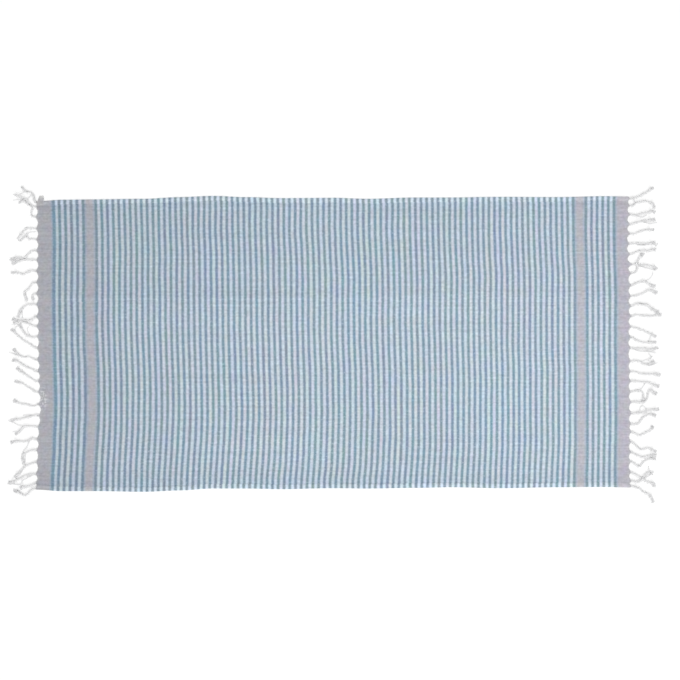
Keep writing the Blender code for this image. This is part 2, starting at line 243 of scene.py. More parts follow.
# plies that have come away from their cord: half thickness, and the places they pass, out
# from the end line and up the towel
Loose = namedtuple("Loose", "radius way")
LEFT_LOOSE = [
    Loose(0.9, [(24, 472), (31, 475), (38, 470), (49, 465)]),
    Loose(1.1, [(4, 446), (8, 462), (17, 462), (25, 451), (36, 447), (52, 436)]),
    Loose(1.3, [(24, 439), (41, 452), (68, 461)]),
    Loose(0.8, [(24, 439), (38, 447), (68, 445)]),
    Loose(0.8, [(2, 347), (26, 344), (33, 335), (49, 321)]),
    Loose(1.0, [(59, 255), (81, 259)]),
    Loose(1.0, [(45, 108), (45, 86)]),
    Loose(1.2, [(57, 70), (73, 62)]),
    Loose(0.8, [(25, 53), (30, 45), (24, 32)]),
    Loose(1.0, [(68, 33), (66, 50), (59, 55)]),
    Loose(1.1, [(54, -36), (65, -33), (81, -28)]),
    Loose(0.9, [(42, -92), (45, -81)]),
    Loose(1.0, [(15, -221), (24, -219), (37, -220)]),
    Loose(1.0, [(24, -255), (42, -253), (59, -250), (85, -238)]),
    Loose(0.9, [(56, -271), (71, -271)]),
    Loose(1.1, [(17, -292), (24, -303), (32, -321), (41, -330), (44, -340)]),
    Loose(1.1, [(36, -339), (36, -354), (36, -373)]),
    Loose(1.0, [(39, -382), (51, -402), (59, -403)]),
    Loose(1.1, [(12, -404), (24, -412), (45, -423), (48, -433), (56, -435), (78, -433)]),
    Loose(1.1, [(45, -463), (60, -450), (64, -456)]),
]
RIGHT_LOOSE = [
    Loose(1.2, [(6, 449), (10, 446), (15, 438), (14, 431), (8, 427)]),
    Loose(1.0, [(17, 397), (29, 393), (38, 392), (48, 397)]),
    Loose(1.1, [(20, 376), (36, 377), (64, 372), (79, 375)]),
    Loose(1.1, [(14, 310), (33, 305), (71, 308), (79, 302), (84, 308)]),
    Loose(1.1, [(17, 245), (33, 239), (76, 228)]),
    Loose(0.8, [(71, 224), (68, 212), (59, 201), (38, 193)]),
    Loose(1.1, [(22, 124), (33, 128), (59, 118), (64, 107)]),
    Loose(1.0, [(63, 31), (63, 23), (58, 12)]),
    Loose(1.2, [(8, -15), (26, -22), (56, -24), (79, -28)]),
    Loose(0.9, [(56, -29), (66, -41), (59, -49)]),
    Loose(1.0, [(32, -54), (56, -47), (66, -40)]),
    Loose(1.1, [(50, -64), (62, -67), (81, -60)]),
    Loose(1.0, [(26, -144), (36, -137), (44, -126)]),
    Loose(1.1, [(20, -214), (30, -205), (31, -197), (39, -192), (50, -199)]),
    Loose(1.0, [(48, -402), (59, -393), (58, -383)]),
    Loose(1.1, [(23, -428), (41, -418), (62, -405)]),
]

PLY_RADIUS = 1.40           # of each of the two plies
PLY_OFFSET = 0.98           # from the cord's middle to a ply's middle
PLY_PITCH = 13.0            # length of one full turn of the twist
KNOT_AT = 0.80              # place of the knot along a cord
KNOT_COIL, KNOT_WIRE, KNOT_LENGTH = 2.7, 1.55, 7.5
TAIL_THREADS = 26
FUZZ = 92                   # stray fibres on a cord of the mean length
EDGE_FUZZ_STEP = 1.5        # mean distance between fibres along the end edge
ROOT_THREADS = 9
ROOT_SPREAD = 4.6           # half the width of end edge whose warp runs into one cord

# single warp threads that lie a little proud or slack the whole length of the towel
Thread = namedtuple("Thread", "y half_width tone")
THREADS = [
    Thread(305, 2.6, -0.030),
    Thread(292, 2.6, -0.032),
    Thread(283, 2.8, 0.034),
    Thread(-187, 2.6, 0.028),
    Thread(-220, 4.2, 0.028),
    Thread(-320, 2.8, 0.030),
    Thread(-337, 4.2, -0.032),
]

# ------------------------------------------------------------------ colours, linear
DARK_DYE = (0.186, 0.269, 0.337)
LIGHT_DYE = (0.514, 0.582, 0.658)
GREY_DYE = (0.410, 0.413, 0.454)
MIST_DYE = (0.369, 0.421, 0.506)        # the grey next to a stripe, where the dye has run a little
END_GAIN = (1.006, 0.972, 1.010)        # the right end is a little pinker than the left one
FIRST_GAIN = (1.00, 1.085, 1.125)       # the first stripe at the left end is a clearer blue
RAW_COTTON = (0.560, 0.560, 0.555)      # the stub of hem, where no colour shows
BLUER = (-0.224, 0.0, 0.224)            # the two ways in which the dye drifts
GREENER = (-0.10, 0.20, -0.10)
HEM_GAIN = (1.16, 1.15, 1.13)         # of the doubled hem, on plain grey
HEM_ON_LIGHT = (1.18, 1.18, 1.15)
HEM_ON_DARK = (1.16, 1.10, 1.05)
SIDE_ON_LIGHT = (1.00, 1.03, 1.058)   # the pale stripes are colder along both long sides
CORD = (0.720, 0.720, 0.726)
CORD_TONE = {"left": 1.03, "right": 1.045}    # the right fringe is a little paler than the left
FLOOR = (0.89, 0.89, 0.89)

# painted shade: how much the cloth's colour is darkened along it, towards its left end, in place of light
# that falls off there
Fade = namedtuple("Fade", "x share")
PAINTED_LIGHT_FALLOFF = [
    Fade(-900, 0.830),
    Fade(-600, 0.897),
    Fade(-300, 0.925),
    Fade(0, 0.956),
    Fade(300, 0.984),
    Fade(600, 1.011),
    Fade(900, 1.015),
]

# studio lights in metres and watts: a soft one above, close to the middle, and a low
# weak one from the bottom side that brings out the folds
Softbox = namedtuple("Softbox", "name place aim size power")
SOFTBOXES = [
    Softbox("softbox_above", (0.05, -0.02, 2.35), (0.05, -0.02, 0.0), 1.0, 10.0),
    Softbox("softbox_low", (1.2, -14.0, 6.8), (0.0, 0.0, 0.0), 5.0, 680.0),
]


# ------------------------------------------------------------------ helpers
def read(table, key, column, at):
    """One column of a table at places between its rows, eased from row to row."""
    rows = sorted(table, key=lambda row: getattr(row, key))
    keys = np.array([getattr(row, key) for row in rows], float)
    vals = np.array([getattr(row, column) for row in rows], float)
    at = np.clip(at, keys[0], keys[-1])
    i = np.clip(np.searchsorted(keys, at, side="right") - 1, 0, len(keys) - 2)
    t = (at - keys[i]) / (keys[i + 1] - keys[i])
    t = t * t * (3 - 2 * t)
    return vals[i] + (vals[i + 1] - vals[i]) * t


def glide(keys, vals, at):
    """A smooth curve through points whose keys rise (cubic, slopes from the neighbours)."""
    keys, vals = np.asarray(keys, float), np.asarray(vals, float)
    slope = np.gradient(vals, keys, axis=0)
    at = np.clip(at, keys[0], keys[-1])
    i = np.clip(np.searchsorted(keys, at, side="right") - 1, 0, len(keys) - 2)
    step = keys[i + 1] - keys[i]
    t = (at - keys[i]) / step
    return ((2 * t ** 3 - 3 * t ** 2 + 1) * vals[i] + (t ** 3 - 2 * t ** 2 + t) * step * slope[i]
            + (3 * t ** 2 - 2 * t ** 3) * vals[i + 1] + (t ** 3 - t ** 2) * step * slope[i + 1])


def ease(low, high, at):
    """0 at low, 1 at high and beyond, and a soft step between them."""
    t = np.clip((np.asarray(at, float) - low) / (high - low), 0.0, 1.0)
    return t * t * (3 - 2 * t)


def uneven(x, y, size_x, size_y, seed):
    """Soft seeded unevenness from -1 to 1, with features of the given sizes."""
    rng = np.random.default_rng(seed)
    lattice = rng.uniform(-1, 1, (64, 64))
    u, v = np.asarray(x) / size_x + 31.0, np.asarray(y) / size_y + 17.0
    i, j = np.floor(u).astype(int), np.floor(v).astype(int)
    s, t = u - i, v - j
    s, t = s * s * (3 - 2 * s), t * t * (3 - 2 * t)
    a, b = lattice[i % 64, j % 64], lattice[(i + 1) % 64, j % 64]
    c, d = lattice[i % 64, (j + 1) % 64], lattice[(i + 1) % 64, (j + 1) % 64]
    return (a + (b - a) * s) * (1 - t) + (c + (d - c) * s) * t


def mesh_object(name, verts, faces, material, attributes=(), uv=None):
    """A smooth mesh piece from millimetre points, with its point attributes."""
    mesh = bpy.data.meshes.new(name)
    mesh.from_pydata((np.asarray(verts) * MM).tolist(), [], faces)
    for label, values in attributes:
        values = np.asarray(values, np.float32)
        kind = "FLOAT" if values.ndim == 1 else "FLOAT_VECTOR"
        layer = mesh.attributes.new(label, kind, "POINT")
        layer.data.foreach_set("value" if values.ndim == 1 else "vector", values.ravel())
    if uv is not None:
        corner = np.zeros(len(mesh.loops), np.int32)
        mesh.loops.foreach_get("vertex_index", corner)
        layer = mesh.uv_layers.new(name="OFBake")
        layer.data.foreach_set("uv", np.asarray(uv, np.float32)[corner].ravel())
    mesh.polygons.foreach_set("use_smooth", np.ones(len(mesh.polygons), bool))
    mesh.materials.append(material)
    mesh.update()
    obj = bpy.data.objects.new(name, mesh)
    bpy.context.scene.collection.objects.link(obj)
    return obj


# ------------------------------------------------------------------ outline
def end_x(side, y):
    """The end edge: drawn out to a point at each cord and a hollow curve in between."""
    out, cords = (-1, LEFT_CORDS) if side == "left" else (1, RIGHT_CORDS)
    roots = np.array(sorted(c.root for c in cords), float)
    rng = np.random.default_rng(11 if side == "left" else 12)
    reach = CUSP * rng.uniform(0.82, 1.15, len(roots))
    if side == "right":
        reach = reach * np.where(roots < 0, 1.02, 1.14)
        reach[np.argmin(abs(roots - BULGE_ROOT))] += BULGE
    y = np.asarray(y, float)
    k = np.clip(np.searchsorted(roots, y) - 1, 0, len(roots) - 2)
    t = (y - roots[k]) / (roots[k + 1] - roots[k])
    gap = np.clip((roots[k + 1] - roots[k]) / 30.0, 0.3, 1.0)
    low = reach[k] * np.clip(1 - 2 * t, 0, 1) ** 1.6
    high = reach[k + 1] * np.clip(2 * t - 1, 0, 1) ** 1.6
    draw = np.where(t < 0, reach[0] * np.clip(1 - (roots[0] - y) / 12, 0, 1),
                    np.where(t > 1, reach[-1] * np.clip(1 - (y - roots[-1]) / 12, 0, 1),
                             np.maximum(low, high) * gap + CUSP * 0.8 * (1 - gap)))
    return read(ENDS, "y", side, y) - (0.8 if side == "right" else 0.0) + out * draw


def fold_height(x, y):
    """Height of the cloth's underside: the pressed folds, the faint cross folds and the
    slack of a soft cloth."""
    z = np.zeros_like(x)
    for c in CREASES:
        crest = c.y + (read(CREST, "x", "off", x) if c is CREASES[0] else 0.0)
        crest = crest + 0.8 * np.sin(x / 71.0)
        d = np.where(y > crest, (y - crest) / c.north, (crest - y) / c.south)
        ends = np.clip(np.minimum((x - c.x_from) / 60, (c.x_to - x) / 60), 0, 1)
        level = c.height * ends * (0.86 + 0.14 * np.sin(x / 97.0 + c.y))
        ridge = 0.5 * (1 + np.cos(np.pi * np.clip(d, 0, 1)))
        side = -c.south - 2.0 if c.south < c.north else c.north + 2.0
        foot = np.exp(-((y - crest - side) / 5.0) ** 2)
        z = z + level * (ridge - c.hollow * foot)
    for c in CROSSES:
        d = np.clip(abs(x - c.x + 6 * np.sin(y / 140.0)) / c.half_width, 0, 1)
        z = z + c.height * 0.5 * (1 + np.cos(np.pi * d)) * (0.6 + 0.4 * uneven(x, y, 90, 90, 5))
    slack = (0.34 * uneven(x, y, 75, 52, 1) + 0.22 * uneven(x, y, 34, 41, 2)
             + 0.10 * uneven(x, y, 17, 19, 3))
    return z + 0.35 + slack * 0.6


# ------------------------------------------------------------------ cloth
def cloth_grid():
    """Places of the top surface's points, as arrays of rows by columns."""
    x0, x1 = ENDS[0].left, ENDS[0].right
    near = [0, 0.9, 2.4, 4.3, 5.0, 8.2, 11.8, 15.4, 18.4, 19.1, 22.2, 25.8]
    far = [0, 0.9, 2.4, 4.5, 8.0, 12.0, 16.0, 20.0, 24.0]
    inner = np.linspace(x0 + 29.5, x1 - 28.0, 418)
    across = np.concatenate([x0 + np.array(near), inner, x1 - np.array(far[::-1])])
    inward = np.array([h.inward for h in HEM])
    top, bottom = read(SIDES, "x", "top", across), read(SIDES, "x", "bottom", across)
    # rows lie closer together over the pressed folds
    fine = np.linspace(-430.0, 430.0, 2001)
    density = np.ones_like(fine)
    for c in CREASES:
        density += 1.4 * np.exp(-((fine - c.y + 4.0) / 20.0) ** 2)
    share = np.concatenate([[0], np.cumsum(0.5 * (density[1:] + density[:-1]))])
    ways = np.interp(np.linspace(0, share[-1], 177), share, np.linspace(0, 1, len(fine)))[:, None]
    low, high = bottom + 24.0, top - 24.0
    y = np.concatenate([bottom + inward[:, None], low + (high - low) * ways,
                        top - inward[::-1, None]])
    rows = len(y)

    # rows move a little at the ends, so that one meets every cord's root
    for side, column, cords in (("left", 0, LEFT_CORDS), ("right", -1, RIGHT_CORDS)):
        line = y[:, column].copy()
        snaps = {0: 0.0, rows - 1: 0.0, 11: 0.0, rows - 12: 0.0}
        for c in cords:
            if line[12] < c.root < line[-13]:
                j = int(np.argmin(abs(line - c.root)))
                snaps[j] = c.root - line[j]
        keys = sorted(snaps)
        shift = np.interp(np.arange(rows), keys, [snaps[k] for k in keys])
        distance = abs(across - (x0 if side == "left" else x1))
        y = y + shift[:, None] * (1 - ease(0, 160, distance))

    x = np.broadcast_to(across, y.shape).copy()
    for side, line, nominal in (("left", y[:, 0], x0), ("right", y[:, -1], x1)):
        distance = abs(across - nominal)
        pull = np.clip(1 - distance / 34.0, 0, 1) ** 1.5
        x = x + (end_x(side, line) - nominal)[:, None] * pull

    # the stub of hem at the top left corner stretches the first rows of a few columns
    tab = ((across > STUB_FROM - 0.3) & (across < STUB_TO + 0.3)).astype(float)
    ragged = 1 - 0.10 * abs(np.sin(across * 0.9))
    for k, share in enumerate((1.0, 0.94, 0.78, 0.36)):
        y[rows - 1 - k] += tab * STUB_OUT * ragged * share
        if k < 3:
            x[rows - 1 - k] = np.where(tab > 0, across, x[rows - 1 - k])
    return x, y, tab, inward


def cloth_surface(x, y, tab, inward):
    rows, columns = x.shape
    profile = np.array([h.height for h in HEM])
    thick = np.full(rows, CLOTH_THICKNESS)
    thick[:len(HEM)] = profile
    thick[-len(HEM):] = profile[::-1]
    thick = np.repeat(thick[:, None], columns, axis=1)
    # the hem is pulled in a little between its stitches and waves along its length
    hem = np.zeros(rows)
    hem[:9] = 1.0
    hem[-9:] = 1.0
    wave = 0.16 * uneven(x, y, 11, 400, 21) + 0.22 * uneven(x, y, 47, 400, 22)
    z = fold_height(x, y) + thick + hem[:, None] * wave * np.clip(thick - 0.4, 0, 1)
    # the ends are thin and lie down on the floor
    for column, nominal in ((0, x[:, :1]), (-1, x[:, -1:])):
        distance = abs(x - nominal)
        z = z - (1 - ease(0, 2.4, distance)) * (thick - 0.45)
        z = z - (1 - ease(0, 30, distance)) * 0.25
    z[-1] += tab * 0.3
    return np.maximum(z, UNDERSIDE + 0.25), hem


def lean_at(x, y):
    keys = [row.y for row in LEANS][::-1]
    columns = [glide(keys, [getattr(row, name) for row in LEANS][::-1], y)
               for name in Lean._fields[1:]]
    stack = np.stack(columns)
    at = np.clip(x, LEAN_AT[0], LEAN_AT[-1])
    lean = np.zeros_like(x)
    for k in range(len(LEAN_AT) - 1):
        a, b = LEAN_AT[k], LEAN_AT[k + 1]
        t = (at - a) / (b - a)
        here = (t >= 0) & (t <= 1)
        t = t * t * (3 - 2 * t)
        lean = np.where(here, stack[k] + (stack[k + 1] - stack[k]) * t, lean)
    return lean


def build_cloth(material):
    x, y, tab, inward = cloth_grid()
    z, hem_rows = cloth_surface(x, y, tab, inward)
    rows, columns = x.shape

    flat_x = x - lean_at(x, y) + 0.3 * uneven(x, y, 30, 26, 7) + 0.7 * uneven(x, y, 60, 70, 9)
    hem = np.repeat(hem_rows[:, None], columns, axis=1)
    flat_x = flat_x + hem * (0.7 + 0.9 * uneven(x, y * 0, 160, 10, 8))
    pick = np.interp(flat_x, [c.x for c in COUNTS], [c.number for c in COUNTS])
    spacing = (COUNTS[1].x - COUNTS[0].x) / (COUNTS[1].number - COUNTS[0].number)
    pick = np.where(flat_x < COUNTS[0].x, (flat_x - COUNTS[0].x) / spacing, pick)
    pick = np.where(flat_x > COUNTS[-1].x, LAST_STRIPE + (flat_x - COUNTS[-1].x) / spacing, pick)

    top, bottom = read(SIDES, "x", "top", x), read(SIDES, "x", "bottom", x)
    from_top, from_bottom = top - y, y - bottom
    # painted shade: the cloth is darker above the long crease and towards the top and bottom edges, where
    # the light falls off, and a little paler just above the crest
    tone = 1 - 0.026 * ease(137, 150, y) - 0.013 * ease(245, 290, y) - 0.026 * ease(360, 430, y)
    tone = tone - 0.050 * ease(-365, -425, y) + 0.013 * np.exp(-((y - 157) / 11) ** 2)
    # painted shade: a darker line at the foot of the long crease's steep side
    crest = CREASES[0].y + read(CREST, "x", "off", x)
    tone = tone - 0.016 * np.exp(-((y - crest + 14.5) / 4.0) ** 2)
    # painted shade: a darker line along the short crease
    far = ease(-700, -670, x) * (1 - ease(-240, -210, x))
    tone = tone - 0.024 * np.exp(-((y + 155) / 5.5) ** 2) * far
    tone = tone + 0.010 * ease(-640, -420, x) * (1 - ease(-120, 60, x))
    # painted shade on the cloth just inside each hem
    tone = tone - 0.020 * ease(14.0, 15.0, from_top) * (1 - ease(17, 27, from_top))
    tone = tone - 0.015 * ease(14.0, 15.0, from_bottom) * (1 - ease(17, 27, from_bottom))
    # painted shade: a darker line in the stitched groove of each hem
    for far in (from_top, from_bottom):
        tone = tone - 0.07 * (1 - ease(0.2, 1.0, abs(far - 13.2)))
    tone = tone * (1 + 0.012 * uneven(x, y, 120, 90, 31) + 0.010 * uneven(x, y, 45, 40, 32))
    # the patch at the left end where the edge is rubbed
    rubbed = np.clip(1.7 * np.exp(-((x + 902) / 14) ** 2 - ((y + 168) / 27) ** 2), 0, 1)
    # painted shade under the top hem near the left end
    tone = tone - 0.055 * np.exp(-((x + 891) / 9) ** 2 - ((from_top - 13.6) / 2.6) ** 2)
    # darker along the bottom edge near the left end
    tone = tone - 0.16 * (1 - ease(1.0, 5.0, from_bottom)) * (1 - ease(-885, -862, x))
    # the ends: darker a few millimetres in from the end edge and paler at the edge itself
    from_end = np.minimum(x - x[:, :1], x[:, -1:] - x)
    tone = tone - np.where(x > 0, 0.090, 0.045) * np.exp(-((from_end - 3.0) / 4.0) ** 2)
    tone = tone + np.where(x > 0, 0.05, 0.11) * np.exp(-(from_end / 2.4) ** 2)
    # the dye is worn there, and the stub of hem is bare cotton; its tone carries painted shade, paler to
    # its tip and right side and darker towards its base
    raw = 0.34 * np.exp(-(from_end / 6.6) ** 4)
    for k, share in enumerate((1.35, 1.20, 1.02)):
        raw[rows - 1 - k] = np.maximum(raw[rows - 1 - k], tab)
        tone[rows - 1 - k] = np.where(tab > 0, share + 0.010 * (x[rows - 1 - k] + 904), tone[rows - 1 - k])
    # painted shade: dark spots at the base of the stub of hem
    tone = tone - 0.12 * np.exp(-((x + 905) / 8.0) ** 2 - ((y - 445.5) / 4.0) ** 2)
    tone = tone - 0.10 * np.exp(-((x + 910.5) / 2.5) ** 2 - ((y - 447) / 3.0) ** 2)
    # painted shade: the cloth is darker towards its left end, standing in for light that falls off along
    # the towel
    tone = tone * read(PAINTED_LIGHT_FALLOFF, "x", "share", x)

    flat = np.stack([flat_x, y, np.zeros_like(x)], axis=-1)
    points = np.stack([x, y, z], axis=-1).reshape(-1, 3)
    index = np.arange(rows * columns).reshape(rows, columns)
    quads = np.stack([index[:-1, :-1], index[:-1, 1:], index[1:, 1:], index[1:, :-1]],
                     axis=-1).reshape(-1, 4)
    faces = quads.tolist()

    # underside: the same outline a little lower, filled coarsely
    rim = np.concatenate([index[0, :], index[1:, -1], index[-1, -2::-1], index[-2:0:-1, 0]])
    rim_points = points[rim]
    inner = []
    for yy in list(range(-405, 406, 45)) + [c.y for c in CREASES] + [
            CREASES[0].y + 13, CREASES[0].y - 8]:
        for xx in range(-870, 871, 60):
            inner.append((xx, yy))
    n = len(rim)
    plan = [Vector((p[0], p[1])) for p in rim_points] + [Vector(p) for p in inner]
    corners, _, tris, source, _, _ = delaunay_2d_cdt(
        plan, [], [list(range(n))], 1, 1e-5)
    low = np.array([(p.x, p.y) for p in corners])
    lift = np.zeros(len(low))
    rise = fold_height(low[:, 0], low[:, 1]) - 0.35
    lift = np.clip(rise * 0.9, 0, None) + UNDERSIDE
    under = np.column_stack([low, lift])
    first = len(points)
    place = {}
    for k, sources in enumerate(source):
        for s in sources:
            if s < n:
                place[s] = first + k
    for k in range(n):
        a, b = int(rim[k]), int(rim[(k + 1) % n])
        faces.append([b, a, place[k], place[(k + 1) % n]])
    for tri in tris:
        a, b, c = (low[i] for i in tri)
        turn = (b[0] - a[0]) * (c[1] - a[1]) - (b[1] - a[1]) * (c[0] - a[0])
        order = tri if turn < 0 else tri[::-1]
        faces.append([first + i for i in order])
    rim_under = {k: v for k, v in place.items()}
    for k in range(n):
        under[rim_under[k] - first, 2] = min(UNDERSIDE, rim_points[k, 2] - 0.2)
    everything = np.vstack([points, under])

    def below(values):
        """Carry a top-surface attribute to the underside by its nearest column and row."""
        j = np.clip(np.searchsorted(x[rows // 2], low[:, 0]), 0, columns - 1)
        i = np.clip(np.searchsorted(y[:, columns // 2], low[:, 1]), 0, rows - 1)
        return np.concatenate([values.reshape((-1,) + values.shape[2:]), values[i, j]])

    x0, x1 = x.min(), x.max()
    y0, y1 = y.min(), y.max()
    uv_top = np.column_stack([0.01 + 0.98 * (points[:, 0] - x0) / (x1 - x0),
                              0.51 + 0.48 * (points[:, 1] - y0) / (y1 - y0)])
    uv_low = np.column_stack([0.01 + 0.98 * (low[:, 0] - x0) / (x1 - x0),
                              0.01 + 0.48 * (low[:, 1] - y0) / (y1 - y0)])
    # the underside keeps exact stripe places, since it is coarse
    flat_low = np.column_stack([low[:, 0] - lean_at(low[:, 0], low[:, 1]), low[:, 1],
                                np.zeros(len(low))])
    pick_low = np.interp(flat_low[:, 0], [c.x for c in COUNTS], [c.number for c in COUNTS])
    pick_low = np.where(flat_low[:, 0] < COUNTS[0].x,
                        (flat_low[:, 0] - COUNTS[0].x) / spacing, pick_low)
    pick_low = np.where(flat_low[:, 0] > COUNTS[-1].x,
                        LAST_STRIPE + (flat_low[:, 0] - COUNTS[-1].x) / spacing, pick_low)
    attributes = [
        ("flat", np.vstack([flat.reshape(-1, 3), flat_low])),
        ("pick", np.concatenate([pick.ravel(), pick_low])),
        ("hem", below(hem)),
        ("tone", below(tone)),
        ("rubbed", below(rubbed)),
        ("raw", below(raw)),
    ]
    return mesh_object("cloth", everything, faces, material, attributes,
                       np.vstack([uv_top, uv_low]))


# ------------------------------------------------------------------ cords
class Bundle:
    """Collects tubes into one mesh."""

    def __init__(self, depth):
        self.depth = depth          # of colour, for all of its strands
        self.verts, self.faces, self.grain, self.tone = [], [], [], []
        self.count = 0

    def tube(self, line, radius, sides=6, tone=1.0, start=0.0):
        """A round strand along a line of points; its ends are closed."""
        line = np.asarray(line, float)
        n = len(line)
        radius = np.broadcast_to(np.asarray(radius, float), n)
        tone = np.broadcast_to(np.asarray(tone, float), n)
        run = np.gradient(line, axis=0)
        run /= np.maximum(np.linalg.norm(run, axis=1, keepdims=True), 1e-9)
        side = np.cross(run[0], (0.0, 0.0, 1.0))
        if np.linalg.norm(side) < 0.05:
            side = np.cross(run[0], (0.0, 1.0, 0.0))
        side /= np.linalg.norm(side)
        frames = np.empty((n, 3))
        for k in range(n):
            side = side - run[k] * side.dot(run[k])
            side = side / max(np.linalg.norm(side), 1e-9)
            frames[k] = side
        other = np.cross(run, frames)
        turn = np.arange(sides) * 2 * np.pi / sides
        ring = (line[:, None, :] + radius[:, None, None]
                * (np.cos(turn)[None, :, None] * frames[:, None, :]
                   + np.sin(turn)[None, :, None] * other[:, None, :]))
        length = start + np.concatenate([[0], np.cumsum(
            np.linalg.norm(np.diff(line, axis=0), axis=1))])
        grain = np.stack([np.repeat(length[:, None], sides, 1),
                          np.repeat(turn[None, :], n, 0), np.zeros((n, sides))], axis=-1)
        base = self.count
        self.verts += [ring.reshape(-1, 3), line[:1], line[-1:]]
        self.grain += [grain.reshape(-1, 3), grain[:1, 0], grain[-1:, 0]]
        self.tone += [np.repeat(tone, sides), tone[:1], tone[-1:]]
        grid = base + np.arange(n * sides).reshape(n, sides)
        nxt = np.roll(grid, -1, axis=1)
        quads = np.stack([grid[:-1], nxt[:-1], nxt[1:], grid[1:]], axis=-1).reshape(-1, 4)
        self.faces += quads.tolist()
        first, last = base + n * sides, base + n * sides + 1
        self.faces += [[first, int(b), int(a)] for a, b in zip(grid[0], nxt[0])]
        self.faces += [[last, int(a), int(b)] for a, b in zip(grid[-1], nxt[-1])]
        self.count += n * sides + 2

    def piece(self, name, material):
        return mesh_object(name, np.vstack(self.verts), self.faces, material,
                           [("grain", np.vstack(self.grain)),
                            ("tone", np.concatenate(self.tone) * self.depth)])


def smooth_way(places, step):
    """Points at even steps along a smooth curve through the given places."""
    p = np.asarray(places, float)
    p = np.vstack([2 * p[0] - p[1], p, 2 * p[-1] - p[-2]])
    fine = []
    for i in range(1, len(p) - 2):
        t = np.linspace(0, 1, 24, endpoint=False)[:, None]
        a, b, c, d = p[i - 1:i + 3]
        fine.append(0.5 * (2 * b + (c - a) * t + (2 * a - 5 * b + 4 * c - d) * t ** 2
                           + (3 * b - a - 3 * c + d) * t ** 3))
    fine = np.vstack(fine + [p[-2:-1]])
    run = np.concatenate([[0], np.cumsum(np.linalg.norm(np.diff(fine, axis=0), axis=1))])
    n = max(6, int(round(run[-1] / step)) + 1)
    want = np.linspace(0, run[-1], n)
    return np.column_stack([np.interp(want, run, fine[:, k]) for k in range(2)]), want


def softened(values):
    """The values evened out over a few neighbours."""
    kernel = np.exp(-np.linspace(-2, 2, 9) ** 2)
    return np.convolve(np.pad(values, 4, mode="edge"), kernel / kernel.sum(), mode="valid")


def lift_over(way, others, reach):
    """How much a strand has to rise to pass over the ones that already lie there."""
    rise = np.zeros(len(way))
    if len(others):
        for k, p in enumerate(way):
            d = np.sqrt(((others[:, :2] - p) ** 2).sum(1))
            near = d < reach
            if near.any():
                gap = np.sqrt(np.clip(1 - (d[near] / reach) ** 2, 0, 1))
                rise[k] = (others[near, 2] * gap).max()
    return np.maximum(softened(rise), rise * 0.9)


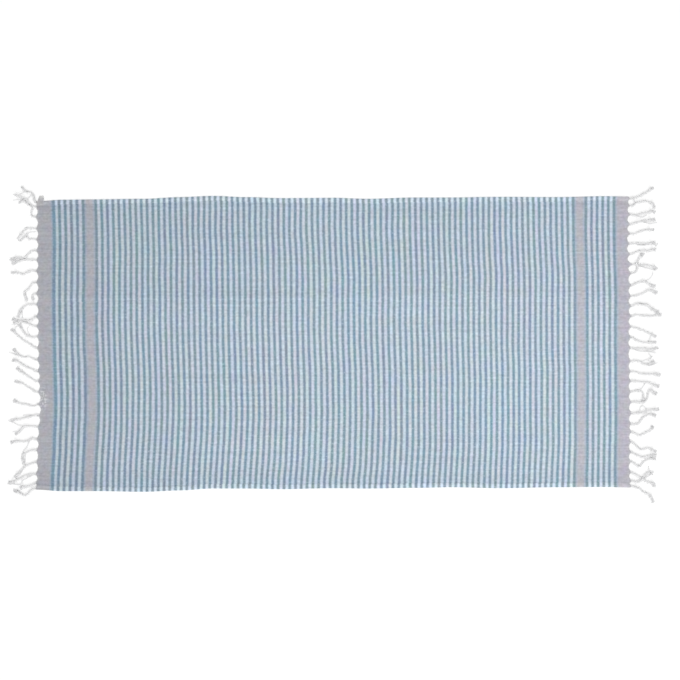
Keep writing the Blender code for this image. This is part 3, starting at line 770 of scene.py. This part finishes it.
def build_fringe(name, side, cords, loose, material):
    out = -1 if side == "left" else 1
    rng = np.random.default_rng(101 if out < 0 else 202)
    bundle = Bundle(CORD_TONE[side])
    laid = np.zeros((0, 3))         # places already covered, with the height there
    for c in cords:
        edge = float(end_x(side, c.root))
        places = [(edge - out * 1.2, c.root), (edge + out * 3.0, c.root + 0.12 * c.way[0][1])]
        places += [(edge + out * (o - 0.5), c.root + u) for o, u in c.way]
        way, run = smooth_way(places, 1.25)
        total = run[-1]
        direction = np.gradient(way, axis=0)
        direction /= np.linalg.norm(direction, axis=1, keepdims=True)
        across = np.column_stack([-direction[:, 1], direction[:, 0]])
        # a little hand unevenness in the way it lies
        wander = 0.5 * np.sin(run / rng.uniform(7, 12) + rng.uniform(0, 6)) * ease(6, 20, run)
        way = way + across * wander[:, None]

        knot_at = total * (KNOT_AT + rng.uniform(-0.04, 0.05))
        has_knot = total > 38
        if not has_knot:
            knot_at = total * 0.72
        girth = rng.uniform(0.92, 1.12) * c.girth
        offset = PLY_OFFSET * girth * (0.93 + 0.10 * np.sin(run / 9.0 + rng.uniform(0, 6)))
        ply = PLY_RADIUS * girth
        middle = offset + ply
        knot = np.exp(-((run - knot_at) / 3.4) ** 2)
        height = 0.9 + (middle - 0.9) * ease(0, 9, run)
        height = height + (KNOT_COIL + KNOT_WIRE - middle) * knot
        rise = lift_over(way, laid, 3.8)
        height = height + rise * ease(4, 9, run)
        # a cord that comes back over itself rises there too
        own = np.zeros(len(way))
        for k in range(len(way)):
            earlier = run < run[k] - 12
            if earlier.any():
                d = np.sqrt(((way[earlier] - way[k]) ** 2).sum(1)).min()
                if d < 3.8:
                    own[k] = 3.8 * math.sqrt(1 - (d / 3.8) ** 2)
        height = height + softened(own)
        laid = np.vstack([laid, np.column_stack([way, np.full(len(way), 4.0)])[::2]])

        # two plies, side by side at the root and twisted from there on
        body = run <= knot_at + 2.0
        merge = rng.uniform(5.0, 12.0)
        spin = 2 * np.pi * np.clip(run - merge, 0, None) / (PLY_PITCH * rng.uniform(0.9, 1.15))
        spread = offset + (rng.uniform(2.2, 3.6) - offset) * (1 - ease(0, merge, run))
        for k in (0, 1):
            angle = spin + k * np.pi
            line = np.column_stack([
                way + across * (spread * np.cos(angle))[:, None],
                height + offset * np.sin(angle) * ease(merge - 3, merge + 2, run)])
            size = ply * (0.92 + 0.08 * ease(0, 8, run))
            line[:, 2] = np.maximum(line[:, 2], size + 0.02)
            bundle.tube(line[body], size[body], 6, 0.94, rng.uniform(0, 40))

        # warp threads gathered from the end edge into the root
        for k in range(ROOT_THREADS):
            aside = ROOT_SPREAD * (2 * k / (ROOT_THREADS - 1) - 1) * rng.uniform(0.85, 1.1)
            y = c.root + aside
            start = (float(end_x(side, y)) - out * 1.0, y)
            goal = 4.0 + abs(aside) * rng.uniform(0.4, 1.0)
            j = int(np.argmin(abs(run - goal)))
            end = way[j] + across[j] * aside * out * 0.15
            t = np.linspace(0, 1, 6)
            bend = (1 - t) ** 1.3
            line = np.column_stack([
                start[0] + (end[0] - start[0]) * t,
                end[1] + (start[1] - end[1]) * bend,
                0.70 + (height[j] * 0.9 - 0.70) * t])
            bundle.tube(line, 0.66 * (1 - 0.2 * t), 5, 0.78 + 0.14 * t)

        # knot: turns wound round the cord, and one strand that crosses them
        if has_knot:
            for turns, coil, wire, span, phase in (
                    (2.3, KNOT_COIL, KNOT_WIRE, KNOT_LENGTH, rng.uniform(0, 6)),
                    (0.9, KNOT_COIL + 0.55, KNOT_WIRE * 0.85, KNOT_LENGTH * 1.1,
                     rng.uniform(0, 6))):
                t = np.linspace(0, 1, int(13 * turns) + 4)
                s = knot_at + (t - 0.5) * span
                centre = np.column_stack([np.interp(s, run, way[:, 0]),
                                          np.interp(s, run, way[:, 1]),
                                          np.interp(s, run, height)])
                side_way = np.column_stack([np.interp(s, run, across[:, 0]),
                                            np.interp(s, run, across[:, 1])])
                angle = 2 * np.pi * turns * t + phase
                wide = coil * girth * np.sqrt(np.sin(np.pi * np.clip(t, 0.06, 0.94)))
                line = centre.copy()
                line[:, :2] += side_way * (wide * np.cos(angle))[:, None]
                line[:, 2] += wide * np.sin(angle)
                line[:, 2] = np.maximum(line[:, 2], wire * girth)
                bundle.tube(line, wire * girth, 6, 0.94, rng.uniform(0, 40))

        # tail: the threads of both plies, loose and spreading
        tail = total - knot_at + 4.0
        full = rng.uniform(0.8, 1.25) * (1.08 if side == "left" else 1.14)
        for k in range(TAIL_THREADS):
            share = rng.uniform(0.76, 1.0) if k else 1.0
            t = np.linspace(0, 1, 8)
            s = knot_at - 4.0 + t * tail * share
            fan = 0.64 * rng.uniform(-1, 1, 2).sum()     # most of them near the middle
            curl = rng.uniform(-1, 1, 2)
            aside = (fan * full * c.girth ** 1.6 * (1.8 + 3.8 * t ** 0.9)
                     + curl[0] * 0.7 * np.sin(5 * t + curl[1] * 3))
            stack = 0.70 + rng.uniform(0, 1) * 2.4 * (1 - 0.75 * t) * np.clip(1 - abs(fan) * 0.6, 0, 1)
            line = np.column_stack([
                np.interp(s, run, way[:, 0]) + np.interp(s, run, across[:, 0]) * aside,
                np.interp(s, run, way[:, 1]) + np.interp(s, run, across[:, 1]) * aside,
                stack + np.clip(np.interp(s, run, rise), 0, None)])
            # painted shade and light: threads near the middle of the tail, which catch the most light, are
            # darker and the outer ones paler; all are paler towards the tip
            bundle.tube(line, 0.62 * (1 - 0.5 * t ** 3), 4, 0.88 + 0.14 * abs(fan) + 0.13 * t)

        # stray fibres along it
        for k in range(int(round(FUZZ * total / 85.0))):
            j = int(rng.integers(3, len(way) - 1))
            toward = rng.choice((-1.0, 1.0))
            start = way[j] + across[j] * toward * (offset[j] + 0.5)
            lean = direction[j] * rng.uniform(-1.6, 1.6) + across[j] * toward * rng.uniform(0.7, 1.6)
            curl = across[j] * toward * rng.uniform(-0.9, 0.5)
            t = np.linspace(0, 1, 3)[:, None]
            reach = 1.3 + 2.9 * rng.uniform(0, 1) ** 1.5
            line = np.column_stack([start + lean * reach * t + curl * reach * t ** 2,
                                    0.25 + height[j] * (1 - 0.6 * t[:, 0]) * rng.uniform(0.5, 1.0)])
            bundle.tube(line, 0.19, 3, 1.0)

    # short fibres that stand out of the end edge between the cords
    low, high = min(c.root for c in cords), max(c.root for c in cords)
    for y in np.arange(low + 4.0, high - 4.0, EDGE_FUZZ_STEP):
        y = y + rng.uniform(-1.2, 1.2)
        x = float(end_x(side, y))
        t = np.linspace(0, 1, 3)
        reach, lean = rng.uniform(1.8, 3.9), rng.uniform(-1.6, 1.6)
        line = np.column_stack([x + out * (reach * t - 0.8), y + lean * t, 0.55 - 0.2 * t])
        bundle.tube(line, 0.24 * (1 - 0.4 * t), 3, 0.86)

    # plies that have come away, laid over or beside the cords
    for strand in loose:
        base = LOOSE_FROM[side]
        way, run = smooth_way([(base + out * o, u) for o, u in strand.way], 1.6)
        rise = lift_over(way, laid, 3.0)
        wave = 0.35 * np.sin(run / 3.1 + rng.uniform(0, 6))
        thick = strand.radius * 1.25
        line = np.column_stack([way, thick + 0.02 + rise * 0.9])
        line[:, 1] += wave
        size = thick * (1 - 0.35 * ease(run[-1] - 7, run[-1], run))
        bundle.tube(line, size, 6, 0.96, rng.uniform(0, 40))
        for k in range(4):
            t = np.linspace(0, 1, 5)
            fan = rng.uniform(-1, 1)
            d = way[-1] - way[-3]
            d = d / np.linalg.norm(d)
            reach = rng.uniform(3, 6)
            tip = np.column_stack([
                way[-1][0] + d[0] * reach * t - d[1] * fan * 1.8 * t,
                way[-1][1] + d[1] * reach * t + d[0] * fan * 1.8 * t,
                strand.radius + 0 * t + rise[-1] * 0.9])
            bundle.tube(tip, 0.45 * (1 - 0.5 * t), 4, 0.92)
        laid = np.vstack([laid, np.column_stack([way, np.full(len(way), 2.0)])[::2]])
    return bundle.piece(name, material)


# ------------------------------------------------------------------ materials
class Shade:
    """Short names for the nodes that a material is built from."""

    def __init__(self, name):
        self.material = bpy.data.materials.new(name)
        self.material.use_nodes = True
        self.tree = self.material.node_tree
        self.shader = self.tree.nodes["Principled BSDF"]

    def put(self, socket, value):
        if isinstance(value, bpy.types.NodeSocket):
            self.tree.links.new(value, socket)
        elif isinstance(value, tuple) and len(value) == 3 and socket.type == "RGBA":
            socket.default_value = (*value, 1.0)
        else:
            socket.default_value = value

    def math(self, operation, a, b=0.0, clamp=False):
        node = self.tree.nodes.new("ShaderNodeMath")
        node.operation, node.use_clamp = operation, clamp
        self.put(node.inputs[0], a)
        self.put(node.inputs[1], b)
        return node.outputs[0]

    def vector(self, operation, a, b):
        node = self.tree.nodes.new("ShaderNodeVectorMath")
        node.operation = operation
        self.put(node.inputs[0], a)
        self.put(node.inputs[1], b)
        return node.outputs[0]

    def step(self, value, low, high):
        """0 where the value is at low, 1 where it is at high, and soft between."""
        node = self.tree.nodes.new("ShaderNodeMapRange")
        node.interpolation_type = "SMOOTHSTEP"
        self.put(node.inputs["Value"], value)
        node.inputs["From Min"].default_value = low
        node.inputs["From Max"].default_value = high
        return node.outputs[0]

    def attribute(self, name, output="Fac"):
        node = self.tree.nodes.new("ShaderNodeAttribute")
        node.attribute_name = name
        return node.outputs[output]

    def noise(self, where, size_x, size_y, seed, detail=1.0):
        """Soft unevenness about zero, with features of about these sizes."""
        scaled = self.vector("MULTIPLY", where, (1 / size_x, 1 / size_y, 0.0))
        moved = self.vector("ADD", scaled, (0.0, 0.0, float(seed)))
        node = self.tree.nodes.new("ShaderNodeTexNoise")
        self.put(node.inputs["Vector"], moved)
        node.inputs["Scale"].default_value = 1.0
        node.inputs["Detail"].default_value = detail
        return self.math("SUBTRACT", node.outputs["Fac"], 0.5)

    def mix(self, share, a, b):
        node = self.tree.nodes.new("ShaderNodeMix")
        node.data_type = "RGBA"
        self.put(node.inputs[0], share)
        self.put(node.inputs[6], a)
        self.put(node.inputs[7], b)
        return node.outputs[2]

    def blend(self, share, a, b):
        """The value a where the share is 0 and b where it is 1."""
        return self.math("ADD", a, self.math("MULTIPLY", share, self.math("SUBTRACT", b, a)))

    def tint(self, colour, amount):
        """The colour times a grey amount."""
        node = self.tree.nodes.new("ShaderNodeVectorMath")
        node.operation = "SCALE"
        self.put(node.inputs[0], colour)
        self.put(node.inputs["Scale"], amount)
        return node.outputs[0]


def cloth_material():
    s = Shade("striped_weave")
    flat = s.attribute("flat", "Vector")
    pick, hem = s.attribute("pick"), s.attribute("hem")
    tone, rubbed = s.attribute("tone"), s.attribute("rubbed")
    split = s.tree.nodes.new("ShaderNodeSeparateXYZ")
    s.put(split.inputs[0], flat)
    along, up = split.outputs[0], split.outputs[1]

    # stripes, with edges that are ragged where warp threads cross them
    ragged = s.math("MULTIPLY", s.noise(flat, 7.0, 5.5, 3), 0.10)
    at = s.math("ADD", pick, ragged)
    dark = s.step(s.math("PINGPONG", at, 0.5), DARK_HALF + 0.21, DARK_HALF - 0.12)
    inner = 1.0
    for number in PLAIN_AT:
        away = s.math("ABSOLUTE", s.math("SUBTRACT", at, float(number)))
        inner = s.math("MINIMUM", inner, s.math("SUBTRACT", away, PLAIN_HALF))
    dark = s.math("MAXIMUM", dark, s.math("LESS_THAN", inner, DARK_HALF))
    beyond = s.math("SUBTRACT", float(LAST_STRIPE), at)
    dark = s.math("MAXIMUM", dark, s.step(at, FIRST_HALF + 0.21, FIRST_HALF - 0.12))
    dark = s.math("MAXIMUM", dark, s.math("LESS_THAN", beyond, 0.0))
    outer = s.math("ADD", s.math("MINIMUM", at, beyond), END_HALF)
    plain = s.math("MAXIMUM", s.step(inner, PLAIN_SOFT, -PLAIN_SOFT),
                   s.step(outer, END_SOFT, -END_SOFT))
    clear = s.step(s.math("MINIMUM", inner, outer), -0.10, -0.42)
    grey_dye = s.mix(clear, MIST_DYE, GREY_DYE)

    # each stripe's dye drifts along it, nearly on its own
    def along_stripes(number, seed):
        join = s.tree.nodes.new("ShaderNodeCombineXYZ")
        s.put(join.inputs[0], s.math("MULTIPLY", s.math("ROUND", number), 8.3))
        s.put(join.inputs[1], up)
        return [s.math("ADD", s.noise(join.outputs[0], 11.0, 46.0, seed + more),
                       s.math("MULTIPLY", s.noise(join.outputs[0], 7.0, 420.0, seed + more + 40),
                              1.2)) for more in (0, 20)]

    drift_dark = along_stripes(pick, 7)
    drift_light = along_stripes(s.math("SUBTRACT", pick, 0.5), 8)
    drift_grey = (s.noise(flat, 26.0, 30.0, 9), s.noise(flat, 24.0, 34.0, 10))

    # pale warp shows through the dark weft in small ticks
    ticks = s.step(s.noise(flat, 7.0, 5.0, 13), 0.04, 0.26)
    dark_dye = s.mix(s.math("MULTIPLY", ticks, 0.36), DARK_DYE, LIGHT_DYE)
    colour = s.mix(dark, LIGHT_DYE, dark_dye)
    colour = s.mix(plain, colour, grey_dye)
    first = s.math("MULTIPLY", s.math("SUBTRACT", 1.0, plain), s.step(at, 0.55, 0.25))
    colour = s.mix(first, colour, s.vector("MULTIPLY", colour, FIRST_GAIN))
    pinker = s.step(beyond, -0.2, -1.0)
    colour = s.mix(pinker, colour, s.vector("MULTIPLY", colour, END_GAIN))
    change = (1.0, 1.0, 1.0)
    for way, k in ((BLUER, 0), (GREENER, 1)):
        amount = s.blend(dark, s.math("MULTIPLY", drift_light[k], 0.67), drift_dark[k])
        amount = s.blend(plain, amount, s.math("MULTIPLY", drift_grey[k], 0.67))
        change = s.vector("ADD", s.tint(way, amount), change)
    colour = s.vector("MULTIPLY", colour, change)
    # the turned hem is double, fuller and paler
    near = s.step(s.math("ABSOLUTE", up), 405.0, 425.0)
    pale = s.math("MULTIPLY", s.math("SUBTRACT", 1.0, plain), s.math("SUBTRACT", 1.0, dark))
    colour = s.mix(s.math("MULTIPLY", near, pale), colour,
                   s.vector("MULTIPLY", colour, SIDE_ON_LIGHT))
    hem_gain = s.mix(plain, s.mix(dark, HEM_ON_LIGHT, HEM_ON_DARK), HEM_GAIN)
    colour = s.mix(hem, colour, s.vector("MULTIPLY", colour, hem_gain))
    colour = s.mix(s.attribute("raw"), colour, RAW_COTTON)
    speck = s.math("MULTIPLY", rubbed, s.step(s.noise(flat, 7.0, 6.0, 41), -0.02, 0.08))
    colour = s.mix(s.math("MULTIPLY", speck, 0.75), colour, (0.70, 0.70, 0.73))

    grain = s.math("ADD", s.math("MULTIPLY", s.noise(flat, 9.0, 7.2, 21), 0.41),
                   s.math("MULTIPLY", s.noise(flat, 26.0, 6.8, 24), 0.28))
    warp = s.math("MULTIPLY", s.noise(flat, 700.0, 6.2, 22), 0.26)
    weft = s.math("MULTIPLY", s.noise(flat, 2.8, 90.0, 23), 0.10)
    for thread in THREADS:
        away = s.math("ABSOLUTE", s.math("SUBTRACT", up, float(thread.y)))
        warp = s.math("ADD", warp, s.math("MULTIPLY", s.step(away, thread.half_width, 0.0),
                                          thread.tone))
    value = s.math("ADD", s.math("ADD", grain, warp), s.math("ADD", weft, 1.0))
    colour = s.tint(colour, s.math("MULTIPLY", value, tone))
    s.put(s.shader.inputs["Base Color"], colour)

    # plain weave and slubs as bump
    threads = s.math("MULTIPLY",
                     s.math("SINE", s.math("MULTIPLY", along, 2 * math.pi / 1.7)),
                     s.math("SINE", s.math("MULTIPLY", up, 2 * math.pi / 1.5)))
    slub = s.math("ADD", s.math("MULTIPLY", s.noise(flat, 9.0, 7.0, 31, 2.0), 1.6),
                  s.math("MULTIPLY", s.noise(flat, 260.0, 2.6, 32), 0.8))
    bump = s.tree.nodes.new("ShaderNodeBump")
    bump.inputs["Strength"].default_value = 0.6
    bump.inputs["Distance"].default_value = 0.00035
    s.put(bump.inputs["Height"], s.math("ADD", s.math("MULTIPLY", threads, 0.25), slub))
    s.put(s.shader.inputs["Normal"], bump.outputs[0])
    finish(s.shader)
    return s.material


def finish(shader):
    shader.inputs["Roughness"].default_value = 0.92
    shader.inputs["Specular IOR Level"].default_value = 0.18
    shader.inputs["Sheen Weight"].default_value = 0.06
    shader.inputs["Sheen Roughness"].default_value = 0.6


def cord_material():
    s = Shade("twisted_cotton")
    grain, tone = s.attribute("grain", "Vector"), s.attribute("tone")
    soft = s.math("MULTIPLY", s.noise(grain, 5.0, 1.2, 51, 2.0), 0.30)
    value = s.math("MULTIPLY", s.math("ADD", soft, 1.0), tone)
    s.put(s.shader.inputs["Base Color"], s.tint(CORD, value))
    split = s.tree.nodes.new("ShaderNodeSeparateXYZ")
    s.put(split.inputs[0], grain)
    yarn = s.math("SINE", s.math("ADD", s.math("MULTIPLY", split.outputs[0], 2.4),
                                 s.math("MULTIPLY", split.outputs[1], 4.0)))
    bump = s.tree.nodes.new("ShaderNodeBump")
    bump.inputs["Strength"].default_value = 0.3
    bump.inputs["Distance"].default_value = 0.00015
    s.put(bump.inputs["Height"], yarn)
    s.put(s.shader.inputs["Normal"], bump.outputs[0])
    finish(s.shader)
    return s.material


def floor_material():
    s = Shade("pale_floor")
    s.put(s.shader.inputs["Base Color"], FLOOR)
    s.shader.inputs["Roughness"].default_value = 1.0
    s.shader.inputs["Specular IOR Level"].default_value = 0.0
    return s.material


# ------------------------------------------------------------------ stage, light, camera
def build_stage():
    size = 90.0
    mesh = bpy.data.meshes.new("floor")
    mesh.from_pydata([(-size, -size, 0), (size, -size, 0), (size, size, 0), (-size, size, 0)],
                     [], [(0, 1, 2, 3)])
    mesh.materials.append(floor_material())
    floor = bpy.data.objects.new("floor", mesh)
    bpy.context.scene.collection.objects.link(floor)

    world = bpy.data.worlds.new("studio")
    world.use_nodes = True
    sky = world.node_tree.nodes["Background"]
    sky.inputs["Color"].default_value = (1.0, 1.0, 1.0, 1.0)
    sky.inputs["Strength"].default_value = 0.95
    bpy.context.scene.world = world

    for name, place, aim, size, power in SOFTBOXES:
        lamp = bpy.data.lights.new(name, "AREA")
        lamp.shape, lamp.size, lamp.energy = "SQUARE", size, power
        light = bpy.data.objects.new(name, lamp)
        light.location = place
        light.rotation_mode = "QUATERNION"
        light.rotation_quaternion = (Vector(aim) - light.location).to_track_quat("-Z", "Y")
        bpy.context.scene.collection.objects.link(light)

    camera_data = bpy.data.cameras.new("camera")
    camera_data.lens = 90.0
    camera_data.clip_start, camera_data.clip_end = 0.1, 200.0
    camera = bpy.data.objects.new("camera", camera_data)
    camera.location = (0.0186, 0.0124, 5.258)
    bpy.context.scene.collection.objects.link(camera)
    bpy.context.scene.camera = camera

    view = bpy.context.scene.view_settings
    view.view_transform = "Standard"
    view.look = "None"
    view.exposure, view.gamma = 0.0, 1.0


def main():
    striped, twisted = cloth_material(), cord_material()
    cloth = build_cloth(striped)
    left = build_fringe("cords_left", "left", LEFT_CORDS, LEFT_LOOSE, twisted)
    right = build_fringe("cords_right", "right", RIGHT_CORDS, RIGHT_LOOSE, twisted)
    for obj, node, slot in ((cloth, "towel_cloth", "striped_cotton"),
                            (left, "fringe_left", "cotton_cord"),
                            (right, "fringe_right", "cotton_cord")):
        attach(obj, "root")
        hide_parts(node)
    build_stage()


main()
